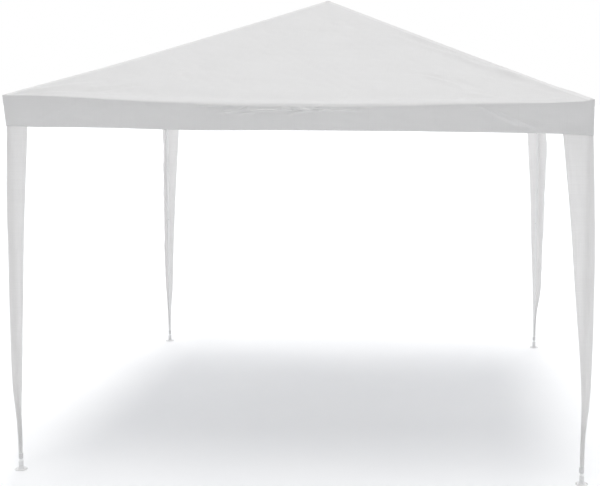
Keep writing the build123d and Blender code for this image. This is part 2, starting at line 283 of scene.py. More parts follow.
def roof_height(k, a, d):
    """Height of the cover's outside at a along side k and d outwards from the centre, d >= |a|."""
    a, d = np.asarray(a, float), np.asarray(d, float)
    safe = np.maximum(d, 1e-6)
    s = np.clip(a / safe, -1, 1)
    z = PEAK - SLOPE * d
    knots, drops = DROOP[k]
    z = z - smooth_table(knots, drops, s * HALF) * step(0, 1, np.abs(1 - np.abs(s)) / 0.04) * (d / HALF)
    if k == 2:
        z = z - smooth_table(*TURN_OVER, s * HALF) * (1 - step(0.0, 0.015, HALF - d))
    px, py = turn(k, -a, d)
    for corner, (height, spread) in SETTLE.items():
        z = z + height * bell(np.hypot(px - CORNERS[corner][0] * HALF, py - CORNERS[corner][1] * HALF), spread)
    off_hip = (d - np.abs(a)) / math.sqrt(2)          # in plan, from the nearer hip
    z = z - 0.0032 * bell(np.hypot(px - 0.98, py + 0.98), 0.42) * bell(off_hip, 0.3)     # the front right hip sags most
    z = z + 0.0058 * step(1.31, 1.41, (px - py) / 2) * bell(off_hip, 0.020)               # and is held up by the connector below it
    free = step(0.0, 0.42, off_hip)
    up = np.clip(d / HALF, 0, 1)
    z = z - 0.020 * free * np.sin(math.pi * up) ** 1.2                  # the gore sags between its hips
    z = z - 0.0045 * np.sin(math.pi * np.clip(up, 0, 1)) * bell(off_hip, 0.25) * (1.0 + 0.6 * step(-0.4, 0.4, px))
    # soft unevenness, more of it where the cloth is slack
    body = step(0.01, 0.16, off_hip) * step(0.0, 0.10, HALF - d) * step(0.05, 0.3, d)
    ax, dy = a + 7.3 * k, d * RISE
    z = z + body * (0.0011 * waves(11 + k, ax, dy, 0.55) + 0.0006 * waves(31 + k, ax, dy, 0.21) + 0.00042 * waves(51 + k, ax, dy, 0.085))
    # long shallow folds from the peak down
    angle = np.arctan2(a, safe)
    rng = np.random.default_rng(90 + k)
    for _ in range(5):
        c, w, h = rng.uniform(-0.6, 0.6), rng.uniform(0.02, 0.035), rng.uniform(-0.0024, 0.0024)
        far = rng.uniform(0.5, 1.1)
        z = z + h * bell(np.sin(angle - c) * np.hypot(a, d), w) * step(0.05, 0.2, d) * (1 - step(far * 0.5, far, d)) * step(0.0, 0.03, off_hip)
    # folds from the corners
    for side, end, deg, width, height, near, far in FOLDS:
        if side != k:
            continue
        p, q = HALF - end * a, (HALF - d) * RISE
        r, t = np.hypot(p, q), np.arctan2(q, p)
        by_hip = deg > 40
        across = np.sin(t - math.radians(deg)) * r + (0.004 if by_hip else 0.012) * waves(side * 10 + int(deg), r, 0 * r, 0.5, 4)
        shape = bell(across, width) - 0.55 * bell(across - 1.9 * width, width * 1.1)
        z = z + height * shape * (step(near, near + 0.35, r) if by_hip else step(0.03, near, r)) * (1 - step(far * 0.55, far, r)) * step(0.0, 0.02, off_hip) * step(0.0, 0.05, q)
    for side, a0, d0, a1, d1, width, height in PLEATS:
        if side != k:
            continue
        q = np.array([a1 - a0, (d1 - d0) * RISE])
        n = np.linalg.norm(q)
        q = q / n * np.sign(q[0])
        p0 = (a0, d0 * RISE) if a1 > a0 else (a1, d1 * RISE)
        along = (a - p0[0]) * q[0] + (d * RISE - p0[1]) * q[1]
        across = -(a - p0[0]) * q[1] + (d * RISE - p0[1]) * q[0] + 0.006 * waves(side * 7 + int(100 * abs(a0)), along, 0 * along, 0.3, 4)
        shape = bell(across, width) - 0.4 * bell(across + 2.0 * width, 1.2 * width)
        z = z + height * shape * step(-0.02, 0.10, along) * (1 - step(n - 0.10, n + 0.02, along)) * step(0.0, 0.03, off_hip)
    # puckers beside the hip seams
    run = (d + np.abs(a)) / math.sqrt(2)
    z = z + 0.00055 * waves(140 + k, run, off_hip * 0.25, 0.062, 7) * bell(off_hip - 0.026, 0.024) * step(0.010, 0.024, off_hip) * step(0.05, 0.2, d)
    z = z + 0.0018 * bell(off_hip, 0.006)             # the seam's layers stand up a little along the ridge
    # the cloth lies flatter just above the rail, then runs up to the rafters
    e = HALF - d
    z = z - 0.021 * step(0.006, 0.140, e) * np.exp(-np.maximum(e - 0.13, 0) / 0.24) * step(0.06, 0.5, HALF - np.abs(a)) * step(0.0, 0.12, off_hip)
    # small rolls on the rail, and a pull at each strap
    z = z + 0.8 * rolls(k, a, -e)
    for at in STRAP_AT:
        z = z - 0.0007 * bell(a - at, 0.022) * bell(e - 0.02, 0.03)
    if k == 2:                                        # along the front right hip the cloth drops off the seam's layers
        drop = step(0.024, 0.044, off_hip) * (1 - step(0.07, 0.24, off_hip)) * step(0.55, 0.95, run) * (1 - step(1.88, 2.04, run))
        z = z - np.where(a > 0, 0.0050 * drop * (1 + 0.30 * waves(333, run, 0 * run, 0.30, 5)), 0)
    # creases left from folding: along grid lines every 0.375 m
    for m in range(-4, 5):
        line = 0.375 * m
        amount = (0.0011 if m % 2 else -0.0009) * (0.6 + 0.4 * waves(200 + m, dy, ax * 0.1, 0.6, 5))
        z = z + amount * np.exp(-np.abs(a - line) / 0.011) * step(0.0, 0.05, off_hip) * step(0.0, 0.04, e)
        if m > 0 and line < HALF - 0.05:
            amount = (0.0010 if m % 2 else -0.0010) * (0.6 + 0.4 * waves(220 + m, ax, dy * 0.1, 0.6, 5))
            z = z + amount * np.exp(-np.abs(d - line) / 0.011) * step(0.0, 0.05, off_hip)
    # it lies on the rail, never inside it
    lift = RAIL_Z + np.sqrt(np.maximum((RAIL_R + 0.0036) ** 2 - (d - LEG) ** 2, 0)) + 0.0006
    z = np.where(np.abs(d - LEG) < RAIL_R + 0.0036, np.maximum(z, lift), z)
    # the bend over the eave
    R = fold_radius(a)
    z = z - np.where(e < R, R - np.sqrt(np.maximum(R * R - (R - np.minimum(e, R)) ** 2, 0)), 0)
    return z


def rolls(k, a, down):
    """How far the small rolls stand out, at a along side k and down metres below the fold; down is negative on the roof."""
    out = 0.0 * a
    for side, mid, low, half, high, height, slant in ROLLS:
        if side == k:
            out = out + 1.3 * height * bell(a - mid, half) * bell(down - low - slant * (a - mid), high)
    return out


# How the foot of the valance leans at each corner, in plan, outwards positive: (x, y)
CORNER_LEAN = {"back_right": (-0.006, -0.008), "back_left": (-0.012, -0.006), "front_left": (-0.013, -0.004), "front_right": (-0.001, -0.003)}
# Creases across a valance: (side, a and z of one end, a and z of the other, width, height)
CREASES = [
    (2, -1.12, 1.952, -1.345, 1.842, 0.0085, 0.0080), (2, 0.938, 1.936, 1.112, 1.849, 0.0060, 0.0105), (2, 1.030, 1.913, 1.250, 1.813, 0.0062, 0.0095),
    (2, 1.070, 1.880, 1.150, 1.842, 0.0060, 0.0050),
    (2, -0.52, 1.925, -0.62, 1.860, 0.018, 0.0028),
    (3, -1.05, 1.950, -1.22, 1.850, 0.012, 0.0095), (3, 0.90, 1.945, 1.10, 1.845, 0.013, 0.0080), (0, 1.00, 1.950, 1.18, 1.840, 0.012, 0.0095),
    (0, -0.95, 1.945, -1.16, 1.845, 0.014, 0.0070), (1, -1.02, 1.945, -1.20, 1.850, 0.012, 0.0090), (1, 0.98, 1.948, 1.20, 1.838, 0.012, 0.0090),
]


# How much higher or lower the hem hangs along each side
HEM_HANGS = {
    2: ([-1.5, -1.4, -1.2, -1.06, -0.91, -0.7, -0.5, -0.29, -0.09, 0.2, 0.51, 0.72, 0.92, 1.12, 1.40, 1.5],
        [0.009, 0.007, 0.006, 0.0045, 0.0026, -0.002, -0.007, -0.0085, -0.006, -0.004, -0.008, -0.0115, -0.012, -0.014, -0.020, -0.026]),
    3: ([-1.5, -1.3, -1.0, -0.6, 0.2, 1.5], [-0.026, -0.016, -0.008, -0.003, 0.003, 0.0]),
    0: ([-1.5, -0.7, 0.3, 0.9, 1.5], [0.0, -0.005, 0.002, -0.004, 0.0]),
    1: ([-1.5, -0.4, 0.5, 1.2, 1.5], [0.0, -0.005, -0.002, 0.005, 0.009]),
}


def hem_height(k, a):
    return HEM + smooth_table(*HEM_HANGS[k], a, 0.03) + 0.0022 * waves(400 + k, a, 0 * a, 1.1, 5) * step(0.0, 0.2, HALF - np.abs(a))


# How the two faces of a leg cover swing about the corner fold, for each metre from it, outwards positive: along the front or back, along the side
SWING = {"back_right": (0.05, 0.33), "back_left": (0.06, -0.12), "front_left": (0.03, 0.04), "front_right": (0.02, 0.03)}
AT_HEM = 0.5                                          # share of the swing that the valance's hem follows


def hem_push(corner, side, u):
    """How far the valance's hem is pushed out, u metres from a corner."""
    return SWING[corner][0 if side < 0 else 1] * AT_HEM * u * np.exp(-(np.maximum(u - 0.11, 0) / 0.13) ** 2)


def valance_out(k, a, z, t):
    """How far the valance of side k stands out of its plane at a and height z; t runs 0 at the fold to 1 at the hem."""
    free = step(0.0, 0.28, HALF - np.abs(a))
    o = -0.004 * t * free
    o = o + free * t * (0.0042 * waves(500 + k, a, 0.25 * z, 0.62, 6) + 0.0016 * waves(520 + k, a, 0.4 * z, 0.2, 7))
    o = o + free * 0.0006 * waves(540 + k, a, z, 0.06, 9) * step(0.0, 0.2, t)
    depth = t * 0.14
    for end in (-1, 1):
        x, y = turn(k, -end, 1)
        corner = next(n for n, (sx, sy) in CORNERS.items() if (sx, sy) == (round(x), round(y)))
        o = o + hem_push(corner, -1 if k in (0, 2) else 1, np.maximum(HALF - end * a, 0)) * t ** 1.5
    o = o + rolls(k, a, depth)
    for at in STRAP_AT:
        o = o - 0.0022 * bell(a - at, 0.016) * bell(depth - 0.004, 0.02)
        o = o + 0.0010 * bell(a - at - 0.03, 0.02) * bell(depth - 0.03, 0.04)
    for side, a0, z0, a1, z1, width, height in CREASES:
        if side != k:
            continue
        d = np.array([a1 - a0, z1 - z0])
        n = np.linalg.norm(d)
        d = d / n
        along = (a - a0) * d[0] + (z - z0) * d[1]
        across = -(a - a0) * d[1] + (z - z0) * d[0]
        # the lower flank is short and steep and the upper one longer
        across = across * (-1 if a1 > a0 else 1)
        flank = np.where(across > 0, np.exp(-(np.maximum(across, 0) / width) ** 1.4), np.exp(-(np.maximum(-across, 0) / (5.2 * width)) ** 1.2))
        o = o + height * flank * step(-0.03, 0.04, along) * (1 - step(n - 0.04, n + 0.03, along))
        o = o - 0.06 * height * bell(across + 6.0 * width, 2.0 * width) * step(-0.03, 0.02, along) * (1 - step(n - 0.02, n + 0.03, along))
    for m in range(-3, 4):
        o = o + 0.0009 * np.exp(-np.abs(a - 0.375 * m) / 0.009) * (0.5 + 0.5 * waves(560 + m, z, a, 0.2, 4)) * (1 if m % 2 else -1) * step(0.03, 0.2, t)
    return o


def corner_shift(k, a, t):
    """How the corners' lean moves the valance of side k: along it and outwards."""
    along, out = 0 * a, 0 * a
    for end in (-1, 1):
        # the corner at this end of the side, in plan
        cx, cy = turn(k, -end * 1.0, 1.0)
        name = next(n for n, (sx, sy) in CORNERS.items() if (sx, sy) == (round(cx), round(cy)))
        lx, ly = CORNER_LEAN[name][0] * CORNERS[name][0], CORNER_LEAN[name][1] * CORNERS[name][1]
        # back into the side's own directions
        bx, by = turn(-k, lx, ly)
        near = bell((HALF - end * a), 0.22)
        along = along + (-bx) * near * t
        out = out + by * near * t
    return along, out


def pull(p):
    """The front left corner of the cover is drawn out a little to the left, and its leg cover's top with it."""
    p = np.array(p, float)
    w = bell(np.hypot(p[:, 0] + HALF, p[:, 1] + HALF), 0.30) * step(1.15, HEM, p[:, 2])
    p[:, 0] -= 0.0095 * w
    return p


def pulled(parts):
    return [(pull(v), f) for v, f in parts]


# ------------------------------------------------------------------ the cover's mesh
PITCH = 0.010
inner_x = np.arange(0, 1.4500001, PITCH)
edge_x = np.array([1.4580, 1.4655, 1.4730, 1.4795, 1.4850, 1.4890, 1.4920, 1.4945, 1.4965, 1.4982, 1.4993, 1.5])
pos = np.concatenate([inner_x, edge_x])
X = np.concatenate([-pos[:0:-1], pos])
N = len(X) - 1


def side_of(x, y):
    return np.where(np.abs(y) >= np.abs(x), np.where(y >= 0, 0, 2), np.where(x >= 0, 3, 1))


def to_side(k, x, y):
    """(a, d) of a point for side k."""
    bx, by = turn(-k, x, y)
    return -bx, by


gx, gy = np.meshgrid(X, X, indexing="ij")
gz = np.zeros_like(gx)
owner = side_of(gx, gy)
for k in range(4):
    m = owner == k
    a, d = to_side(k, gx[m], gy[m])
    gz[m] = roof_height(k, a, d)
roof = np.stack([gx, gy, gz], -1).reshape(-1, 3)


def rid(i, j):
    return i * (N + 1) + j


# the ring of eave vertices, anticlockwise from above, starting at the back right corner and running along the back
ring = []
for k in range(4):
    for i in range(N):
        x, y = turn(k, X[N - i], HALF)
        ring.append((k, i))
ROWS = np.concatenate([np.linspace(0, 0.38, 20), np.linspace(0.41, 0.83, 15), [0.85, 0.865, 0.93, 1.0]])
index_of = {round(float(v), 6): i for i, v in enumerate(X)}


def grid_index(x, y):
    return rid(index_of[round(float(x), 6)], index_of[round(float(y), 6)])


eave_ids = []
for k, i in ring:
    x, y = turn(k, X[N - i], HALF)
    eave_ids.append(grid_index(x, y))
flap = []
fold_z = {}
for k in range(4):
    a = -X[::-1][:-1]                                # a of the ring's vertices: x falls from +HALF, and a = -x
    fz = np.array([roof[eave_ids[k * N + i], 2] for i in range(N)])
    hz = hem_height(k, a)
    rows = []
    for t in ROWS[1:]:
        z = fz + (hz - fz) * t
        out = valance_out(k, a, z, t)
        al, ou = corner_shift(k, a, t)
        x, y = turn(k, -(a + al), HALF + out + ou)
        rows.append(np.stack([x, y, z], -1))
    flap.append(np.stack(rows, 1))                   # (N, rows, 3)
flap = np.concatenate(flap, 0)
M = len(ROWS) - 1
# the corner vertices belong to two sides: both leans count in full
verts = np.vstack([roof, flap.reshape(-1, 3)])
for k in range(4):
    x0, y0 = turn(k, HALF, HALF)
    name = next(n for n, s in CORNERS.items() if s == (round(x0 / HALF), round(y0 / HALF)))
    for r, t in enumerate(ROWS[1:]):
        v = len(roof) + (k * N) * M + r
        verts[v, 0] = CORNERS[name][0] * (HALF + CORNER_LEAN[name][0] * t)
        verts[v, 1] = CORNERS[name][1] * (HALF + CORNER_LEAN[name][1] * t)


def flap_id(c, r):
    """Vertex of ring column c, row r; row 0 is the eave."""
    c = c % (4 * N)
    return eave_ids[c] if r == 0 else len(roof) + c * M + (r - 1)


quads, uvs = [], []


def roof_uv(k, v):
    a, d = to_side(k, verts[v, 0], verts[v, 1])
    return (float(a) + 10.0 * k, float(d) * RISE)


for i in range(N):
    for j in range(N):
        c = [rid(i, j), rid(i + 1, j), rid(i + 1, j + 1), rid(i, j + 1)]
        if i == j:
            parts = [[c[0], c[1], c[2], c[2]], [c[0], c[2], c[3], c[3]]]
        elif i == N - 1 - j:
            parts = [[c[0], c[1], c[3], c[3]], [c[1], c[2], c[3], c[3]]]
        else:
            parts = [c]
        for q in parts:
            mid = verts[q[:3] if q[2] == q[3] else q].mean(0)
            k = int(side_of(mid[0], mid[1]))
            quads.append(q)
            uvs.append([roof_uv(k, v) for v in q])
top_len = HALF * RISE
for c in range(4 * N):
    k = c // N
    for r in range(M):
        q = [flap_id(c, r), flap_id(c, r + 1), flap_id(c + 1, r + 1), flap_id(c + 1, r)]
        quads.append(q)
        a0, a1 = -X[N - (c % N)], -X[N - (c % N) - 1]
        v0, v1 = top_len + ROWS[r] * (EAVE - HEM), top_len + ROWS[r + 1] * (EAVE - HEM)
        uvs.append([(a0 + 10.0 * k, v0), (a0 + 10.0 * k, v1), (a1 + 10.0 * k, v1), (a1 + 10.0 * k, v0)])
quads = np.array(quads)
thick = np.full(len(verts), 0.0006)
for c in range(4 * N):
    for r in range(1, M + 1):
        if ROWS[r] > 0.85:
            thick[flap_id(c, r)] = 0.0018
canopy = cloth("cover_cloth", pull(verts), quads, thick, uvs)

# ------------------------------------------------------------------ leg covers
# Width of a face from its corner fold at each height, as a share of the width at the hem, and where the fold stands.
WIDE_Z = [COVER_END, 0.33, 0.60, 0.87, 1.26, 1.80, HEM + 0.03]
WIDE_W = [0.0235, 0.0350, 0.0530, 0.0730, 0.1020, 0.1500, 0.1530]
NARROW_Z = [COVER_END, 0.256, 0.576, 0.896, 1.258, 1.535, 1.81, HEM + 0.03]
NARROW_W = [0.0225, 0.0310, 0.0500, 0.0670, 0.0820, 0.0960, 0.1070, 0.1080]


# How far each corner fold stands out to the side, and how much wider the face along the front or back is, from the bottom up
STAND = {
    "front_left": ([0.10, 0.22, 0.36, 0.64, 0.91, 1.19, 1.5, 1.8], [0.0, 0.0035, 0.0062, 0.0062, 0.0040, 0.0010, 0.0035, 0.0]),
    "front_right": ([0.10, 0.22, 0.36, 0.64, 0.91, 1.19, 1.5, 1.8], [0.0, 0.0042, 0.0085, 0.0110, 0.0105, 0.0090, 0.0050, 0.0]),
    "back_left": ([0.10, 0.25, 0.47, 0.9, 1.3, 1.8], [0.0, 0.003, 0.004, 0.001, -0.002, -0.001]),
    "back_right": ([0.10, 0.25, 0.47, 0.9, 1.3, 1.8], [0.001, 0.005, 0.008, 0.002, 0.001, 0.003]),
}
WIDER = {
    "front_left": ([0.10, 0.22, 0.36, 0.64, 0.91, 1.19, 1.5, 1.8], [0.0, 0.004, 0.0080, 0.0095, 0.0076, 0.0040, 0.0070, 0.0]),
    "front_right": ([0.10, 0.22, 0.36, 0.64, 0.91, 1.19, 1.5, 1.8], [0.0, -0.002, -0.0035, 0.0030, 0.0105, 0.0120, 0.0050, 0.0]),
    "back_left": ([0.10, 0.25, 0.47, 0.9, 1.3, 1.8], [0.0, 0.003, 0.004, -0.003, 0.001, -0.003]),
    "back_right": ([0.10, 0.25, 0.47, 0.9, 1.3, 1.8], [0.0, 0.0, 0.0, -0.007, -0.010, -0.008]),
}


def leg_cover_section(corner, z, share, side):
    """Points of the cover at heights z; share runs 0 at the corner fold to 1 at the face's free edge. side -1 is the face along the front or back, +1 the one along the left or right."""
    sx, sy = CORNERS[corner]
    wide = (side < 0) == (corner == "front_right")
    w = smooth_table(WIDE_Z, WIDE_W, z, 0.05) if wide else smooth_table(NARROW_Z, NARROW_W, z, 0.05)
    if side < 0:
        w = w + smooth_table(*WIDER[corner], z, 0.04)
    u = share * w
    seed = 600 + 10 * list(CORNERS).index(corner) + (side > 0)
    lean = step(1.2, HEM, z)
    ex = HALF + CORNER_LEAN[corner][0] * lean
    ey = HALF + CORNER_LEAN[corner][1] * lean
    bulge = (0.0090 if corner == "front_right" else 0.0045) * np.sin(math.pi * np.clip((z - 0.35) / 1.45, 0, 1))
    low = step(0.56, COVER_END, z)                     # draws in towards the tube at the bottom
    ex, ey = ex + bulge - 0.0075 * low + smooth_table(*STAND[corner], z, 0.04), ey + bulge * 0.6 - 0.0075 * low
    over = (2 if sy < 0 else 0) if side < 0 else (3 if sx > 0 else 1)      # the side whose valance hangs over it
    at, _ = to_side(over, sx * (HALF - (u if side < 0 else 0 * u)), sy * (HALF - (u if side > 0 else 0 * u)))
    hem = hem_height(over, at)
    tuck = step(hem - 0.010, hem + 0.006, z)           # the top goes up behind the valance
    ex, ey = ex - 0.0026 * tuck, ey - 0.0026 * tuck
    # L section with a rounded corner of radius rho
    rho = 0.006 + 0.004 * low
    arc = rho * math.pi / 4                           # half of the rounded corner's length
    uu = np.maximum(u - arc, 0)
    turned = np.minimum(u, arc) / rho                  # angle turned from the corner's diagonal
    # centre of the rounding
    cx, cy = ex - rho, ey - rho
    ang = math.pi / 4 + turned                         # from the other face's normal to this face's normal
    nx_, ny_ = np.cos(ang), np.sin(ang)                # for side -1: y is this face's normal
    flat_along = -uu
    lx = cx + rho * nx_ + flat_along
    ly = cy + rho * ny_
    # wrapped round the tube
    rw = TUBE_R + 0.0012
    phi = math.pi / 4 + u / rw
    ax, ay = LEG + rw * np.cos(phi), LEG + rw * np.sin(phi)
    wrap = step(0.45, COVER_END + 0.01, z)
    # the cloth's own unevenness, more towards the free edge
    edge = share ** 1.5
    ripple = edge * (0.0013 * waves(seed, z, 0 * z, 0.55, 6) + 0.0005 * waves(seed + 2, z, u, 0.13, 7)) * (1 - 0.85 * wrap) * step(HEM + 0.01, HEM - 0.18, z)
    ripple = ripple + 0.0009 * waves(seed + 4, u * 7.0, z * 0.35, 0.11, 9) * step(0.05, 0.3, share) * (1 - 0.6 * wrap) * step(HEM + 0.01, HEM - 0.10, z)
    # the tube shows through as a soft line where the cloth lies against it
    ripple = ripple + 0.0012 * bell(u - (HALF - LEG), 0.009) * (1 - wrap)
    swing = SWING[corner][0 if side < 0 else 1] * (AT_HEM + (1 - AT_HEM) * step(HEM - 0.02, HEM - 0.20, z))
    ripple = ripple + swing * uu * (1 - wrap)
    x = lx * (1 - wrap) + ax * wrap
    y = ly * (1 - wrap) + (ay + 0 * ly) * wrap + ripple
    if side > 0:
        x, y = y, x
        x = x + (ex - ey) * (1 - wrap)
        y = y + (ey - ex) * (1 - wrap)
    return np.stack([sx * x, sy * y, z + 0 * x], -1)


cover_cloths = {}
for corner, (sx, sy) in CORNERS.items():
    zs = np.concatenate([np.linspace(COVER_END, 0.5, 34), np.linspace(0.515, HEM - 0.056, 80), np.arange(HEM - 0.048, HEM + 0.0245, 0.006)])
    shares = np.array([0, 0.02, 0.045, 0.08, 0.12, 0.17, 0.23, 0.30, 0.37, 0.44, 0.52, 0.60, 0.68, 0.76, 0.83, 0.865, 0.88, 0.94, 1.0])
    us = np.concatenate([-shares[:0:-1], shares])
    nz, nu = len(zs), len(us)
    grid = np.zeros((nu, nz, 3))
    for i, u in enumerate(us):
        grid[i] = leg_cover_section(corner, zs, np.full(nz, abs(u)), -1 if u < 0 else 1)
    v = pull(grid.reshape(-1, 3))
    q, uv = [], []
    flip = sx * sy < 0
    width = np.abs(np.interp(zs, [COVER_END, HEM], [0.05, 0.26]))
    for i in range(nu - 1):
        for j in range(nz - 1):
            f = [i * nz + j, (i + 1) * nz + j, (i + 1) * nz + j + 1, i * nz + j + 1]
            c = [(us[i] * width[j] / 2 + 50, zs[j]), (us[i + 1] * width[j] / 2 + 50, zs[j]), (us[i + 1] * width[j + 1] / 2 + 50, zs[j + 1]), (us[i] * width[j + 1] / 2 + 50, zs[j + 1])]
            if not flip:
                f, c = f[::-1], c[::-1]
            q.append(f)
            uv.append(c)
    t = np.full(len(v), 0.0006).reshape(nu, nz)
    t[np.abs(us) > 0.87, :] = 0.0016
    t[:, zs < COVER_END + 0.02] = 0.0016
    q = np.array(q)
    o = cloth(f"leg_cover_cloth_{corner}", v, q, t.ravel(), uv)
    # the outer face has to look away from the leg
    n = quad_normals(v, q)
    mid = n[(nu // 2) * nz + nz // 2]
    assert mid[0] * sx + mid[1] * sy > 0, corner
    cover_cloths[corner] = (o, grid, us, zs)

# ------------------------------------------------------------------ seams and stitches
def surface(k, a, d):
    """Point on the roof, and its upward normal, for arrays of a and d on side k."""
    h = 0.004
    z = roof_height(k, a, d)
    za = (roof_height(k, a + h, d) - roof_height(k, a - h, d)) / (2 * h)
    zd = (roof_height(k, a, d + h) - roof_height(k, a, np.maximum(d - h, 0))) / (2 * h)
    x, y = turn(k, -a, d)
    nx, ny = turn(k, za, -zd)
    n = np.stack([nx, ny, np.ones_like(z)], -1)
    return np.stack([x, y, z], -1), n / np.linalg.norm(n, axis=1)[:, None]


seam_parts, stitch_parts = [], []
for c, (corner, (sx, sy)) in enumerate(CORNERS.items()):
    k = c                                              # the hip between side k and side k - 1
    run = np.linspace(0.03, HALF * math.sqrt(2) - 0.020, 210)
    e = run / math.sqrt(2)
    z = roof_height(k, -e, e)
    ridge = np.stack([sx * e, sy * e, z], -1)
    for way in (-1, 1):
        # two fabric layers felled to each side of the ridge
        side = k if way > 0 else (k - 1) % 4
        off = 0.0102
        a = (-e + off * math.sqrt(2) / 2) if way > 0 else (e - off * math.sqrt(2) / 2)
        d = e + off * math.sqrt(2) / 2
        d = np.minimum(d, HALF - 0.001)
        rows = []
        for w, h in ribbon_profile(0.0008, 0.0006):
            o = (off + way * w * 0.0096) * math.sqrt(2) / 2
            p, n = surface(side, (-e + o) if way > 0 else (e - o), np.minimum(e + o, HALF - 0.0005))
            rows.append(p + n * h)
        seam_parts.append(strip(rows))
        for shift in (0.0052, -0.0052):
            q, nn = surface(side, a + (shift if way > 0 else -shift), np.minimum(d + 0.0003, HALF - 0.001))
            stitch_parts.append(stitches(q + nn * 0.0010, nn))
hip_seams = joined("hip_seams", pulled(seam_parts), smooth=False)

for k in range(4):
    a = np.linspace(-HALF + 0.012, HALF - 0.012, 260)
    fz = roof_height(k, a, np.full_like(a, HALF))
    hz = hem_height(k, a)
    for t in (0.075, 0.862):
        z = fz + (hz - fz) * t
        out = valance_out(k, a, z, t)
        al, ou = corner_shift(k, a, t)
        x, y = turn(k, -(a + al), HALF + out + ou + 0.0003)
        nx, ny = turn(k, 0 * a, 1 + 0 * a)
        stitch_parts.append(stitches(np.stack([x, y, z], -1), np.stack([nx, ny, 0 * z], -1)))
cover_stitches = joined("cover_stitches", pulled(stitch_parts))

leg_stitches = {}
for corner, (o, grid, us, zs) in cover_cloths.items():
    parts = []
    sx, sy = CORNERS[corner]
    for side in (-1, 1):
        z = np.linspace(COVER_END + 0.03, HEM - (0.034 if corner == "front_right" else 0.012), 170)
        p = leg_cover_section(corner, z, np.full_like(z, 0.885), side)
        q = leg_cover_section(corner, z, np.full_like(z, 0.86), side)
        t = np.gradient(p, axis=0)
        n = np.cross(t, p - q)
        n /= np.linalg.norm(n, axis=1)[:, None]
        out = np.array([0.0, sy, 0.0]) if side < 0 else np.array([sx, 0.0, 0.0])
        n *= np.sign(n[-20:].mean(0) @ out)
        parts.append(stitches(p + n * 0.0003, n))
    leg_stitches[corner] = joined(f"leg_cover_stitches_{corner}", pulled(parts))

# ------------------------------------------------------------------ cuffs round the lower legs
def band(points, low, high, thick):
    """A band between two heights that follows points in plan, as (verts, faces); its outside is thick beyond them."""
    p = np.asarray(points, float)
    t = np.gradient(p, axis=0)
    t /= np.linalg.norm(t, axis=1)[:, None]
    n = np.stack([t[:, 1], -t[:, 0]], -1)
    rows = []
    bevel = thick * 0.45
    for o, z in ((0, low + bevel), (0, high - bevel), (bevel * 0.4, high), (thick - bevel * 0.4, high), (thick, high - bevel), (thick, low + bevel), (thick - bevel * 0.4, low), (bevel * 0.4, low)):
        rows.append(np.column_stack([p + n * o, np.full(len(p), z)]))
    v = np.stack(rows, 1).reshape(-1, 3)
    m = 8
    f = [[i * m + j, (i + 1) * m + j, (i + 1) * m + (j + 1) % m, i * m + (j + 1) % m] for i in range(len(p) - 1) for j in range(m)]
    f += [list(range(m)), [(len(p) - 1) * m + j for j in range(m)][::-1]]
    return v, f


cuffs = {}
for corner, (sx, sy) in CORNERS.items():
    cx, cy = sx * LEG, sy * LEG
    start = math.atan2(-sy, -sx) - 0.9
    turns = np.linspace(0, math.tau * 1.22, 74)
    lap = step(math.tau * 0.94, math.tau * 1.02, turns)
    r = TUBE_R + 0.0003 + 0.0013 * lap + 0.0011 * step(math.tau * 1.08, math.tau * 1.22, turns)
    pts = np.stack([cx + r * np.cos(start + turns), cy + r * np.sin(start + turns)], -1)
    parts = [band(pts, cuff_lo.z + 0.0008, cuff_hi.z - 0.0008, 0.0011)]
    cuffs[corner] = joined(f"leg_cuff_strap_{corner}", parts)

